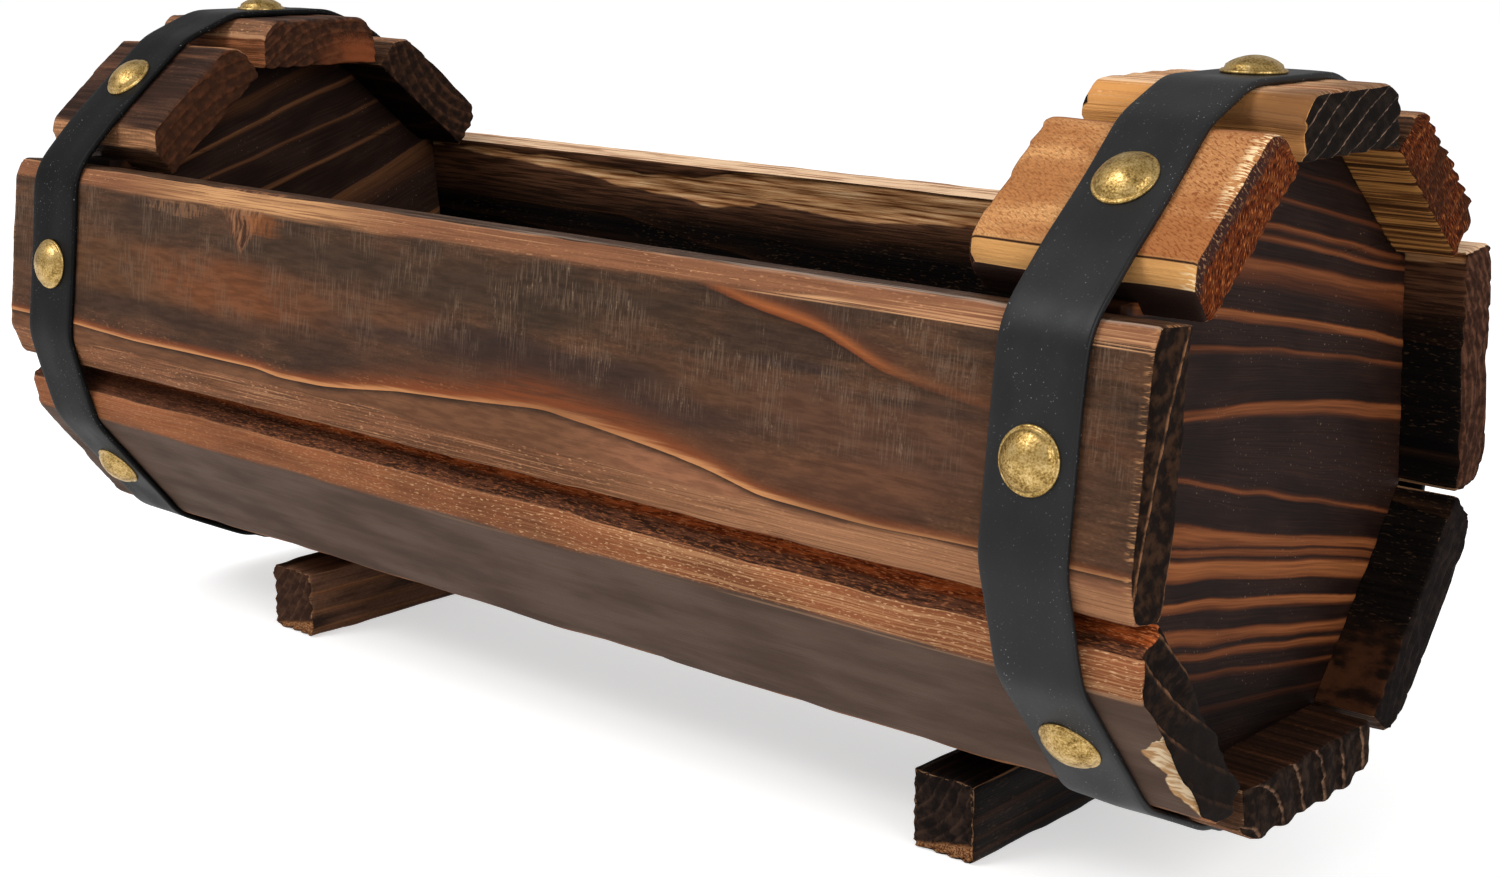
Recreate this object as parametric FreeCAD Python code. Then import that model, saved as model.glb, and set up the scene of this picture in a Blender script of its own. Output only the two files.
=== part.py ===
import FreeCAD, Part
import math
import os

# A half-barrel planter lying on its side: eight staves round two end boards,
# three of them cut short at each end so that the trough between stays open.
# Millimetres. X runs along the barrel, the front is -Y, the feet stand on Z = 0.

# Long staves
stave_length = 464.0
stave_width = 69.0
stave_thickness = 16.5
stave_gap = 0.6
long_chamfer_width = 10.0
long_chamfer_depth = 5.0
rim_chamfer_width = 6.0
rim_chamfer_depth = 2.5

# Short crown staves at each end
crown_length = 64.0
crown_width_share = 0.725
crown_rise = 32.0
crown_gap = 1.8
crown_chamfer_width = 5.0
crown_chamfer_depth = 5.0

# Turns in degrees: bottom to lower staves, these to the front and back, top to upper staves
bottom_turn = 51.5
side_turn = 44.5
crown_turn = 40.0

# End boards
board_thickness = 16.0
left_board_inset = 24.0
right_board_inset = 18.0

# Straps
strap_width = 25.0
strap_thickness = 2.0
strap_inset = 29.0
lap_length = 30.0
lap_ramp = 7.0
lap_clearance = 0.2

# Studs
stud_diameter = 17.0
stud_height = 4.4
stud_rim = 0.8
stud_shank_diameter = 3.0
stud_shank_length = 13.0
stud_tip = 3.0

# Nails that hold the staves to the end boards
nail_diameter = 2.4
nail_length = 34.0
nail_head_diameter = 5.0
nail_head_thickness = 1.0
nail_tip = 3.0
nail_place_share = 0.15

# Feet and the nails that hold them
foot_width = 21.5
foot_height = 23.5
foot_length = 90.0
foot_edge = 1.5
left_foot_inset = 91.0
right_foot_inset = 86.5
foot_nail_diameter = 2.8
foot_nail_length = 33.0
foot_nail_head_diameter = 6.0
foot_nail_head_thickness = 1.2
foot_nail_tip = 3.5
foot_nail_spacing = 36.0

# Clearance round every shank and nail, and the overrun of a through cut
hole_clearance = 0.1
overrun = 2.0

# Sides of the barrel, counted up from the front face
side_count = 8
front_side = 0
top_side = 2
back_side = 4
bottom_side = 6
long_staves = {
    "front_stave": 0,
    "back_stave": 4,
    "lower_back_stave": 5,
    "bottom_stave": 6,
    "lower_front_stave": 7,
}
crown_staves = {"upper_front_stave": 1, "top_stave": 2, "upper_back_stave": 3}
side_names = {
    0: "front",
    1: "upper_front",
    2: "top",
    3: "upper_back",
    4: "back",
    5: "lower_back",
    6: "bottom",
    7: "lower_front",
}

# Places that follow from the sizes
half_length = stave_length / 2.0
crown_width = stave_width * crown_width_share
strap_place = half_length - strap_inset
board_places = {
    -1: -(half_length - left_board_inset - board_thickness / 2.0),
    1: half_length - right_board_inset - board_thickness / 2.0,
}
foot_places = {
    "left_foot": -(half_length - left_foot_inset),
    "right_foot": half_length - right_foot_inset,
}
ends = {"left": -1, "right": 1}

# Which way each side faces: degrees up from straight ahead
quarter = 90.0
lower_facing = -quarter + bottom_turn
front_facing = lower_facing + side_turn
upper_facing = quarter - crown_turn
front_facings = [front_facing, upper_facing, quarter]
back_facings = [2.0 * quarter - facing for facing in (upper_facing, front_facing, lower_facing)]
facings = front_facings + back_facings + [-quarter, lower_facing]


def outward(side):
    """Unit vector out of a side's face."""
    facing = math.radians(facings[side])
    return FreeCAD.Vector(0, -math.cos(facing), math.sin(facing))


def across(side):
    """Unit vector across a side's face, towards the next side."""
    facing = math.radians(facings[side])
    return FreeCAD.Vector(0, math.sin(facing), math.cos(facing))


def side_centres():
    """Middle of each side's inner face; long staves meet edge to edge, the crown stands over their rims."""
    step = (stave_width + stave_gap) / 2.0
    bottom = FreeCAD.Vector(0, 0, foot_height + stave_thickness)
    lower = bottom + (across(bottom_side) + across(bottom_side + 1)) * step
    front = lower + (across(bottom_side + 1) + across(front_side)) * step
    rim = front + across(front_side) * (stave_width / 2.0)
    top = FreeCAD.Vector(0, 0, rim.z + crown_rise)
    crown_edge = top - across(top_side) * (crown_width / 2.0)
    upper = crown_edge - across(top_side - 1) * (crown_gap + crown_width / 2.0)
    mirrored = [FreeCAD.Vector(0, -centre.y, centre.z) for centre in (upper, front, lower)]
    return [front, upper, top] + mirrored + [bottom, lower]


centres = side_centres()


def side_sizes(side):
    """Width, and the chamfers at the low and high edge of a side."""
    long_chamfer = (long_chamfer_width, long_chamfer_depth)
    rim_chamfer = (rim_chamfer_width, rim_chamfer_depth)
    crown_chamfer = (crown_chamfer_width, crown_chamfer_depth)
    if side in crown_staves.values():
        return crown_width, crown_chamfer, crown_chamfer
    low = rim_chamfer if side == back_side else long_chamfer
    high = rim_chamfer if side == front_side else long_chamfer
    return stave_width, low, high


def point(x, side, along, radial):
    """Point at a place along the barrel, across a side and out from its inner face."""
    return centres[side] + FreeCAD.Vector(x, 0, 0) + outward(side) * radial + across(side) * along


def prism(points, length):
    """Solid of a polygon in the section plane, run along X."""
    face = Part.Face(Part.makePolygon(points + points[:1]))
    return face.extrude(FreeCAD.Vector(length, 0, 0))


def turned(wire, place, direction):
    """Solid turned from half a section drawn beside Z, stood at a place along a direction."""
    solid = Part.Face(wire).revolve(FreeCAD.Vector(0, 0, 0), FreeCAD.Vector(0, 0, 1), 360)
    turn = FreeCAD.Rotation(FreeCAD.Vector(0, 0, 1), direction)
    solid.Placement = FreeCAD.Placement(place, turn)
    return solid


def outer_edge(side, high):
    """The two section points that bound the chamfer at a side's high or low edge, face first."""
    width, low_chamfer, high_chamfer = side_sizes(side)
    chamfer_width, chamfer_depth = high_chamfer if high else low_chamfer
    sign = 1 if high else -1
    face_end = (sign * (width / 2.0 - chamfer_width), stave_thickness)
    corner = (sign * width / 2.0, stave_thickness - chamfer_depth)
    return face_end, corner


def stave(side, x_low, length):
    """One stave: square inner corners, chamfered outer corners."""
    half_width = side_sizes(side)[0] / 2.0
    low_face, low_corner = outer_edge(side, False)
    high_face, high_corner = outer_edge(side, True)
    section = [(-half_width, 0), low_corner, low_face, high_face, high_corner, (half_width, 0)]
    return prism([point(x_low, side, along, radial) for along, radial in section], length)


def board_corner(x, side):
    """Corner of the end board between a side and the next one."""
    next_side = (side + 1) % side_count
    next_out = outward(next_side)
    along = (centres[next_side] - centres[side]).dot(next_out) / across(side).dot(next_out)
    return point(x, side, along, 0)


def end_board(end):
    """Flat octagonal board that the staves are nailed round."""
    x_low = board_places[end] - board_thickness / 2.0
    return prism([board_corner(x_low, side) for side in range(side_count)], board_thickness)


def strap_line(x):
    """Line that the strap follows over the faces of the staves and across the gaps."""
    line = []
    for side in range(side_count):
        next_side = (side + 1) % side_count
        face_end, corner = (point(x, side, *pair) for pair in outer_edge(side, True))
        next_face, next_corner = (point(x, next_side, *pair) for pair in outer_edge(next_side, False))
        reach = next_face - face_end
        out = FreeCAD.Vector(1, 0, 0).cross(reach)
        stops = [spot for spot in (corner, next_corner) if (spot - face_end).dot(out) > 0]
        line += [face_end] + stops + [next_face]
    return line


def strap(end):
    """Rubber strap round one end, lapped under the bottom stave."""
    x_low = end * strap_place - strap_width / 2.0
    run = FreeCAD.Vector(strap_width, 0, 0)
    line = strap_line(x_low)
    inside = Part.Face(Part.makePolygon(line + line[:1]))
    band = inside.makeOffset2D(strap_thickness).extrude(run).cut(inside.extrude(run))
    face = stave_thickness
    first = face + strap_thickness
    second = first + lap_clearance
    half_lap = lap_length / 2.0
    start = half_lap + lap_ramp
    below = face - overrun
    above = first + overrun
    notch = [(half_lap, below), (start, below), (start, above), (half_lap, above)]
    tongue = [
        (start, face),
        (half_lap, second),
        (-half_lap, second),
        (-half_lap, second + strap_thickness),
        (half_lap, second + strap_thickness),
        (start, first),
    ]
    gap = prism([point(x_low, bottom_side, *pair) for pair in notch], strap_width)
    lap = prism([point(x_low, bottom_side, *pair) for pair in tongue], strap_width)
    band = band.cut(gap).fuse(lap).removeSplitter()
    for side in range(side_count):
        band = band.cut(stud_hole(end, side))
    return band


def stud_seat(side):
    """Distance from a side's inner face to the strap's outer face under a stud's head."""
    seat = stave_thickness + strap_thickness
    return seat + lap_clearance + strap_thickness if side == bottom_side else seat


def stud(end, side):
    """Dome-headed stud through the strap into a stave."""
    head = stud_diameter / 2.0
    shank = stud_shank_diameter / 2.0
    rise = stud_height - stud_rim
    dome = (head * head + rise * rise) / (2.0 * rise)
    half = math.asin(head / dome) / 2.0
    tip = FreeCAD.Vector(0, 0, -stud_shank_length)
    edge = FreeCAD.Vector(head, 0, stud_rim)
    shoulder = FreeCAD.Vector(dome * math.sin(half), 0, stud_height - dome + dome * math.cos(half))
    crest = FreeCAD.Vector(0, 0, stud_height)
    stem = [tip, FreeCAD.Vector(shank, 0, stud_tip - stud_shank_length), FreeCAD.Vector(shank, 0, 0)]
    lower = Part.makePolygon(stem + [FreeCAD.Vector(head, 0, 0), edge])
    upper = [Part.Arc(edge, shoulder, crest).toShape(), Part.LineSegment(crest, tip).toShape()]
    section = Part.Wire(lower.Edges + upper)
    return turned(section, point(end * strap_place, side, 0, stud_seat(side)), outward(side))


def stud_hole(end, side):
    """Hole for a stud's shank through the strap and into the stave."""
    radius = stud_shank_diameter / 2.0 + hole_clearance
    depth = stud_shank_length + hole_clearance
    bottom = point(end * strap_place, side, 0, stud_seat(side) - depth)
    return Part.makeCylinder(radius, depth + overrun, bottom, outward(side))


def nail(size, place, direction, clearance):
    """Flat-headed nail from its head's top, or its hole when clearance isn't zero."""
    diameter, length, head_diameter, head_thickness, tip = size
    radius = diameter / 2.0 + clearance
    head = head_diameter / 2.0 + clearance
    neck = head_thickness + clearance
    reach = length + clearance
    profile = [(0, 0), (head, 0), (head, neck), (radius, neck), (radius, reach - tip), (0, reach)]
    points = [FreeCAD.Vector(out, 0, down) for out, down in profile]
    return turned(Part.makePolygon(points + points[:1]), place, direction)


def stave_nails(end, side, clearance=0):
    """The nails that hold one stave to an end board, heads flush under the strap."""
    size = (nail_diameter, nail_length, nail_head_diameter, nail_head_thickness, nail_tip)
    along = side_sizes(side)[0] * nail_place_share
    spots = [point(board_places[end], side, place, stave_thickness) for place in (-along, along)]
    return [nail(size, spot, -outward(side), clearance) for spot in spots]


def foot_nails(foot, clearance=0):
    """The nails driven from inside the trough into a foot."""
    size = (
        foot_nail_diameter,
        foot_nail_length,
        foot_nail_head_diameter,
        foot_nail_head_thickness,
        foot_nail_tip,
    )
    half = foot_nail_spacing / 2.0
    spots = [point(foot_places[foot], bottom_side, along, 0) for along in (-half, half)]
    return [nail(size, spot, outward(bottom_side), clearance) for spot in spots]


def cut_all(solid, tools):
    """The solid with every tool cut away."""
    for tool in tools:
        solid = solid.cut(tool)
    return solid


def long_stave(side):
    """Full-length stave with its nail and stud holes."""
    tools = []
    for end in ends.values():
        tools += stave_nails(end, side, hole_clearance) + [stud_hole(end, side)]
    if side == bottom_side:
        tools += foot_nails("left_foot", hole_clearance) + foot_nails("right_foot", hole_clearance)
    return cut_all(stave(side, -half_length, stave_length), tools)


def crown_stave(end, side):
    """Short stave at one end with its nail and stud holes."""
    x_low = half_length - crown_length if end > 0 else -half_length
    tools = stave_nails(end, side, hole_clearance) + [stud_hole(end, side)]
    return cut_all(stave(side, x_low, crown_length), tools)


def drilled_board(end):
    """End board with the holes of the nails driven into its edges."""
    tools = []
    for side in range(side_count):
        tools += stave_nails(end, side, hole_clearance)
    return cut_all(end_board(end), tools)


def foot(name):
    """Square bar across the bottom with softened long edges."""
    corner = FreeCAD.Vector(foot_places[name] - foot_width / 2.0, -foot_length / 2.0, 0)
    bar = Part.makeBox(foot_width, foot_length, foot_height, corner)
    lower = [edge for edge in bar.Edges if edge.BoundBox.ZMax < foot_height / 2.0]
    bar = bar.makeChamfer(foot_edge, lower)
    return cut_all(bar, foot_nails(name, hole_clearance))


nodes = {}
for stave_name, side in long_staves.items():
    nodes[stave_name] = long_stave(side)
for end_name, end in ends.items():
    for stave_name, side in crown_staves.items():
        nodes[f"{end_name}_{stave_name}"] = crown_stave(end, side)
    nodes[f"{end_name}_end_board"] = drilled_board(end)
    nodes[f"{end_name}_strap"] = strap(end)
    for side, side_name in side_names.items():
        nodes[f"{end_name}_{side_name}_stud"] = stud(end, side)
    held = [solid for side in range(side_count) for solid in stave_nails(end, side)]
    nodes[f"{end_name}_stave_nails"] = Part.makeCompound(held)
for foot_name in foot_places:
    nodes[foot_name] = foot(foot_name)
nodes["foot_nails"] = Part.makeCompound([solid for name in foot_places for solid in foot_nails(name)])

os.makedirs("parts", exist_ok=True)
for node_name, shape in nodes.items():
    shape.exportStep(f"parts/{node_name}.step")
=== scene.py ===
import math
import bpy
import numpy as np
from mathutils import Matrix, Vector


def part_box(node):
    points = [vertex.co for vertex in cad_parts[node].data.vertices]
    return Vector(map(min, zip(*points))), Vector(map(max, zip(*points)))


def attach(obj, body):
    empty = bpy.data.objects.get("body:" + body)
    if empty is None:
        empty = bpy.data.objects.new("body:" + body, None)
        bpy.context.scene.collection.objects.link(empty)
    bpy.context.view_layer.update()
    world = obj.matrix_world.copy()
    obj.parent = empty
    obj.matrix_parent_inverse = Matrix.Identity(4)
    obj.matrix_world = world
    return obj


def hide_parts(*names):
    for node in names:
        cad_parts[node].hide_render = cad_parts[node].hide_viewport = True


# A barrel planter of charred staves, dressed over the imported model. Sizes are in
# millimetres until a mesh is made. Each stave has places of its own: x along the
# barrel, "along" across its face towards the next side up, "out" from its inner face.

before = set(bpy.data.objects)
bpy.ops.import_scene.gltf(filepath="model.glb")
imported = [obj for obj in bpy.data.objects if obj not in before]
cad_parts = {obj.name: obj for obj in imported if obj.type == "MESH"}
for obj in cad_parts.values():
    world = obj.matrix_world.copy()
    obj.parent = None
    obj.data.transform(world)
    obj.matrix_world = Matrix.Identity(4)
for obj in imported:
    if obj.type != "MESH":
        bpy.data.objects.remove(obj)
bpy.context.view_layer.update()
metre = 1000.0


def box_mm(node):
    """Lowest and highest corner of a CAD node in millimetres."""
    low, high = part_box(node)
    return np.array(low) * metre, np.array(high) * metre


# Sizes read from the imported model
stud_radius = (box_mm("left_front_stud")[1] - box_mm("left_front_stud")[0])[0] / 2
bottom_low, bottom_high = box_mm("bottom_stave")
crown_low, crown_high = box_mm("left_top_stave")
half_length = bottom_high[0]
stave_width = bottom_high[1] - bottom_low[1]
stave_thickness = bottom_high[2] - bottom_low[2]
crown_width = crown_high[1] - crown_low[1]

# Section sizes that the boxes don't give, as in the part's source
stave_gap = 0.6
crown_gap = 1.8
bottom_turn = 51.5
side_turn = 44.5
crown_turn = 40.0
long_chamfer = (10.0, 5.0)
rim_chamfer = (6.0, 2.5)
crown_chamfer = (5.0, 5.0)
strap_thickness = 2.0
strap_round = 0.8
lap_half = 15.0
lap_ramp = 7.0
lap_step = 2.2
stud_height = 4.4
stud_rim = 0.8
stud_shank = 1.5

side_names = ["front", "upper_front", "top", "upper_back", "back", "lower_back", "bottom", "lower_front"]
FRONT, UPPER_FRONT, TOP, UPPER_BACK, BACK, LOWER_BACK, BOTTOM, LOWER_FRONT = range(8)
crown_sides = (UPPER_FRONT, TOP, UPPER_BACK)

# Which way each side faces: degrees up from straight ahead
lower_facing = bottom_turn - 90.0
front_facing = lower_facing + side_turn
upper_facing = 90.0 - crown_turn
facings = [front_facing, upper_facing, 90.0, 180.0 - upper_facing]
facings += [180.0 - front_facing, 180.0 - lower_facing, -90.0, lower_facing]
outs = [np.array([0, -math.cos(math.radians(f)), math.sin(math.radians(f))]) for f in facings]
alongs = [np.array([0, math.sin(math.radians(f)), math.cos(math.radians(f))]) for f in facings]


def side_centres():
    """Middle of each side's inner face, as the part's source places them."""
    step = (stave_width + stave_gap) / 2
    bottom = np.array([0, 0, bottom_high[2]])
    lower = bottom + (alongs[BOTTOM] + alongs[LOWER_FRONT]) * step
    front = lower + (alongs[LOWER_FRONT] + alongs[FRONT]) * step
    top = np.array([0, 0, crown_low[2]])
    crown_edge = top - alongs[TOP] * crown_width / 2
    upper = crown_edge - alongs[UPPER_FRONT] * (crown_gap + crown_width / 2)
    mirrored = [centre * (1, -1, 1) for centre in (upper, front, lower)]
    return [front, upper, top] + mirrored + [bottom, lower]


centres = side_centres()


def side_sizes(side):
    """Width, and the chamfers at the low and high edge of a side."""
    if side in crown_sides:
        return crown_width, crown_chamfer, crown_chamfer
    low = rim_chamfer if side == BACK else long_chamfer
    high = rim_chamfer if side == FRONT else long_chamfer
    return stave_width, low, high


def place(side, x, along, out):
    """Points in millimetres from a side's own places."""
    x, along, out = np.broadcast_arrays(x, along, out)
    run = np.array([1.0, 0, 0])
    return centres[side] + x[..., None] * run + along[..., None] * alongs[side] + out[..., None] * outs[side]


# Noise and meshes

# Size of the noise's table, a power of two, and what mixes a cell's three numbers into one place in it
table_size = 4096
cell_mix = (73856093, 19349663, 83492791)


def noise(points, cells, seed):
    """Smooth noise from -1 to 1 at points, with cells of the given size in each direction."""
    table = np.random.default_rng(seed).uniform(-1, 1, table_size)
    points = np.asarray(points, float) / cells
    cell = np.floor(points).astype(np.int64)
    part = points - cell
    part = part * part * (3 - 2 * part)
    total = np.zeros(points.shape[:-1])
    for corner in np.ndindex(2, 2, 2):
        key = np.bitwise_xor.reduce((cell + corner) * cell_mix, axis=-1)
        weight = np.prod(np.where(corner, part, 1 - part), axis=-1)
        total += table[key & (table_size - 1)] * weight
    return total


def soft_step(value, low, high):
    """0 below low, 1 above high, smooth between."""
    share = np.clip((value - low) / (high - low), 0, 1)
    return share * share * (3 - 2 * share)


def block_faces(counts):
    """Quads over the six sides of a block of grid points, and the grid place of each point used."""
    number = np.arange(np.prod(counts)).reshape(counts)
    quads = []
    for axis in range(3):
        for layer in (0, -1):
            sheet = number.take(layer, axis=axis)
            corners = [sheet[:-1, :-1], sheet[1:, :-1], sheet[1:, 1:], sheet[:-1, 1:]]
            if (layer == 0) != (axis == 1):
                corners.reverse()
            quads.append(np.stack(corners, -1).reshape(-1, 4))
    used, renumbered = np.unique(np.concatenate(quads), return_inverse=True)
    return np.unravel_index(used, counts), renumbered.reshape(-1, 4).tolist()


def add_object(name, data):
    """A new object in the scene."""
    thing = bpy.data.objects.new(name, data)
    bpy.context.scene.collection.objects.link(thing)
    return thing


def make_piece(prefix, node, points, faces, material, marks):
    """A smooth mesh in a node's place, from points in millimetres, with marks for its material."""
    mesh = bpy.data.meshes.new(prefix + node)
    mesh.from_pydata((points / metre).tolist(), [], faces)
    mesh.shade_smooth()
    for mark, values in marks.items():
        kind, key = ("FLOAT_VECTOR", "vector") if values.ndim == 2 else ("FLOAT", "value")
        mesh.attributes.new(mark, kind, "POINT").data.foreach_set(key, values.astype(np.float32).ravel())
    mesh.materials.append(material)
    piece = add_object(prefix + node, mesh)
    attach(piece, "root")
    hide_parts(node)


# Material nodes

def linear(colour):
    """Linear colour from a plain grey, or from the usual 0 to 255 values of red, green and blue."""
    if isinstance(colour, (int, float)):
        return [colour, colour, colour, 1.0]
    if not isinstance(colour, tuple):
        return colour
    shares = [value / 255 for value in colour]
    return [s / 12.92 if s <= 0.04045 else ((s + 0.055) / 1.055) ** 2.4 for s in shares] + [1.0]


def lighter(colour, times):
    """A colour made lighter or darker."""
    return [value * times for value in linear(colour)[:3]] + [1.0]


class Value:
    """What one node of a material gives. Arithmetic on it adds nodes."""

    def __init__(self, m, socket):
        self.m, self.socket = m, socket

    def __add__(self, other):
        return self.m.math("ADD", self, other)

    def __sub__(self, other):
        return self.m.math("SUBTRACT", self, other)

    def __rsub__(self, other):
        return self.m.math("SUBTRACT", other, self)

    def __mul__(self, other):
        return self.m.math("MULTIPLY", self, other)

    def __truediv__(self, other):
        return self.m.math("DIVIDE", self, other)

    __radd__, __rmul__ = __add__, __mul__

    def spread(self, low, high, start=0.0, end=1.0):
        """From start at low to end at high, smooth between and level outside."""
        inputs = {0: self, "From Min": low, "From Max": high, "To Min": start, "To Max": end}
        return self.m.add("MapRange", inputs, interpolation_type="SMOOTHSTEP")

    def span(self, low, high):
        """Share of the way from low to high."""
        return self.m.add("MapRange", {0: self, "From Min": low, "From Max": high})

    def between(self, start, end, soft):
        """1 between two values, with soft borders."""
        return self.spread(start - soft, start + soft) * self.spread(end + soft, end - soft)

    def curve(self, *stops):
        """Plain value from stops of (position, value)."""
        return self.m.ramp(self, stops)[0]

    def tones(self, low, high, first, second):
        """The first colour below low, the second above high."""
        return self.m.mix(self.spread(low, high), first, second)


class Material:
    """A node material being built, or the world: its methods add nodes and give what they give."""

    def __init__(self, name, kind="materials"):
        self.data = getattr(bpy.data, kind).new(name)
        self.data.use_nodes = True
        self.tree = self.data.node_tree
        self.tree.nodes.clear()

    def add(self, kind, inputs, output=0, **settings):
        """Adds a node and gives one of its outputs, or all of them where output is None."""
        node = self.tree.nodes.new("ShaderNode" + kind)
        for key, value in settings.items():
            setattr(node, key, value)
        for key, value in inputs.items():
            if isinstance(value, Value):
                self.tree.links.new(value.socket, node.inputs[key])
            else:
                node.inputs[key].default_value = value
        if output is None:
            return [Value(self, socket) for socket in node.outputs]
        return Value(self, node.outputs[output])

    def mark(self, name, part="Fac"):
        """A mark that the mesh carries."""
        return self.add("Attribute", {}, part, attribute_name=name)

    def math(self, operation, first, second=0.0):
        """Arithmetic on one or two values."""
        return self.add("Math", {0: first, 1: second}, operation=operation)

    def off(self, first, *others):
        """1 where none of the marks is."""
        for other in others:
            first = self.math("MAXIMUM", first, other)
        return 1 - first

    def rays(self, *kinds):
        """1 for two kinds of light ray."""
        return self.math("MAXIMUM", *[self.add("LightPath", {}, f"Is {kind} Ray") for kind in kinds])

    def turned(self, degrees, axis):
        """The grain's places turned round an axis."""
        inputs = {"Vector": self.mark("grain", "Vector"), "Angle": math.radians(degrees)}
        return self.add("VectorRotate", inputs, rotation_type=axis)

    def noise(self, cells, detail=2.0, shift=0.0, turn=0.0, vector=None):
        """Noise from 0 to 1 with cells of the given size, turned in the grain's first two directions."""
        if vector is None:
            vector = self.turned(turn, "Z_AXIS") if turn else self.mark("grain", "Vector")
        inputs = {0: vector, 1: [1.0 / size for size in cells], 2: [shift] * 3}
        moved = self.add("VectorMath", inputs, operation="MULTIPLY_ADD")
        return self.add("TexNoise", {"Vector": moved, "Scale": 1.0, "Detail": detail})

    def mix(self, share, first, second, blend="MIX"):
        """The first colour where share is 0, the second blended in where it is 1."""
        inputs = {0: share, 6: linear(first), 7: linear(second)}
        return self.add("Mix", inputs, 2, data_type="RGBA", blend_type=blend)

    def lay(self, share, colour, blend="MIX"):
        """Lays a colour over the material's colour with the given share."""
        self.colour = self.mix(share, self.colour, colour, blend)

    def ramp(self, value, stops):
        """Colour and share from stops of (position, colour) or (position, colour, share)."""
        outputs = self.add("ValToRGB", {"Fac": value}, None)
        band = outputs[0].socket.node.color_ramp.elements
        band.remove(band[-1])
        band[0].position = stops[0][0]
        for stop in stops[1:]:
            band.new(stop[0])
        for element, (_, colour, *share) in zip(band, stops):
            element.color = linear(colour)[:3] + (share or [1.0])
        return outputs

    def finish(self, roughness, height, bump, distance=0.4, **surface):
        """Ends the material with a bumped surface shader of its colour."""
        inputs = {"Height": height, "Strength": bump, "Distance": distance / metre}
        inputs = {"Base Color": self.colour, "Roughness": roughness, "Normal": self.add("Bump", inputs)}
        inputs.update({key.replace("_", " "): value for key, value in surface.items()})
        self.add("OutputMaterial", {"Surface": self.add("BsdfPrincipled", inputs)}, None)
        return self.data


# Wood

# The wood's colours, unless a piece has its own, and how much it shines
wood_tones = {
    "char": (46, 34, 28),
    "brown": (92, 62, 44),
    "bright": (136, 84, 50),
    "tan": (190, 142, 102),
    "bevel": (132, 92, 66),
    "flank": (80, 54, 38),
    "inside": (30, 20, 15),
    "end": (36, 25, 20),
    "end_line": (98, 64, 44),
}
wood_gloss = 0.05


def wood(name, char_share=0.5, streaks=0.3, lines=0.3, wear=0.5, fibres=0.16, specks=0.5, end_lines=0.5,
         end_width=0.35, end_grit=0.3, layers=None, **tones):
    """Charred and brushed wood: char and brown patches, growth lines, worn edges, cut ends."""
    use = {**wood_tones, **tones}
    m = Material(name)
    m.x, m.along, m.out = m.add("SeparateXYZ", {0: m.mark("place", "Vector")}, None)
    m.cut, m.bevel, m.inside, m.flank = [m.mark(mark) for mark in ("cut", "bevel", "inside", "flank")]
    m.fibre = m.noise((18, 0.55, 0.55), 3)
    m.strand = m.noise((75, 2.2, 2.2), 3, 7)
    m.blotch = m.noise((44, 14, 14), 4, 3)
    m.grit = m.noise((1.1, 0.7, 0.7), 3, 11)
    m.rub = 0.5 * (m.strand + m.fibre)

    # Char and brown in soft patches
    level = streaks * m.strand + (1 - streaks) * m.blotch
    middle = 0.4 + 0.2 * char_share
    m.colour = level.tones(middle - 0.09, middle + 0.09, use["char"], use["brown"])

    # A light line where a growth ring ends, fading into the next
    turns = m.mark("ring") + 0.1 * m.fibre
    pick = m.add("TexWhiteNoise", {"W": m.math("FLOOR", turns)}, noise_dimensions="1D")
    late = m.math("FRACT", turns).curve((0, 1), (0.08, 0.8), (0.24, 0.25), (0.55, 0), (0.96, 0.03), (1, 1))
    late = late * pick.spread(-0.3, 1)
    glow = late * m.strand.spread(0.3, 0.62, 0.25, 1)
    m.lay(lines * glow, use["bright"])

    # Inner face, side faces and chamfers
    inside = m.strand.tones(0.38, 0.62, lighter(use["inside"], 0.6), lighter(use["inside"], 1.3))
    m.lay(m.inside, m.mix(min(1, 1.6 * lines) * glow, inside, use["bright"]))
    m.lay(m.flank, m.rub.tones(0.4, 0.6, lighter(use["flank"], 0.4), use["flank"]))
    bevel = m.rub.tones(0.42, 0.58, lighter(use["bevel"], 0.6), use["bevel"])
    thread = m.noise((60, 0.5, 0.5), 1, 15).spread(0.6, 0.68, 0, 0.6)
    m.lay(m.bevel, m.mix(thread, bevel, use["tan"]))

    # Fine fibres and grit; small raw dashes, thickest on the chamfers
    shade = m.fibre.spread(0.3, 0.7, 1 - fibres, 1 + fibres) * m.grit.spread(0.3, 0.7, 0.88, 1.12)
    m.lay(1, shade, "MULTIPLY")
    dash = m.noise((2.2, 0.6, 0.6), 1, 21).spread(0.63, 0.7) * (specks * (0.9 * m.bevel + 0.1))
    m.lay(dash * m.blotch.spread(0.38, 0.55), lighter(use["tan"], 1.25))

    # Cut ends: growth lines stand out of the char, sharp on one side
    rings = m.math("FRACT", m.mark("ring") + 0.06 * m.grit)
    ridge = rings.curve((0, 1), (0.4 * end_width, 0.8), (end_width, 0), (1 - 0.3 * end_width, 0), (1, 1))
    patchy = m.noise((6, 3, 3), 3, 31)
    m.ridge = ridge * m.grit.spread(0.3, 0.5, 0.6, 1) * patchy.spread(0.36, 0.6, 0.2, 1)
    end = m.mix(patchy.spread(0.4, 0.7, 0, end_grit), use["end"], use["end_line"])
    m.lay(m.cut, m.mix(end_lines * m.ridge, end, use["end_line"]))

    # Worn edges show raw wood
    edge = m.mark("worn") + 2.4 * (m.rub - 0.5)
    m.lay(edge.spread(0.7, 1, 0, wear), use["tan"])
    if layers:
        layers(m)
    roughness = m.math("MAXIMUM", level.spread(0.3, 0.7, 0.7, 0.55), 0.9 * m.cut)
    return m.finish(roughness, m.fibre + 0.5 * m.grit + 0.4 * late, 0.6, Specular_IOR_Level=wood_gloss)


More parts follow.
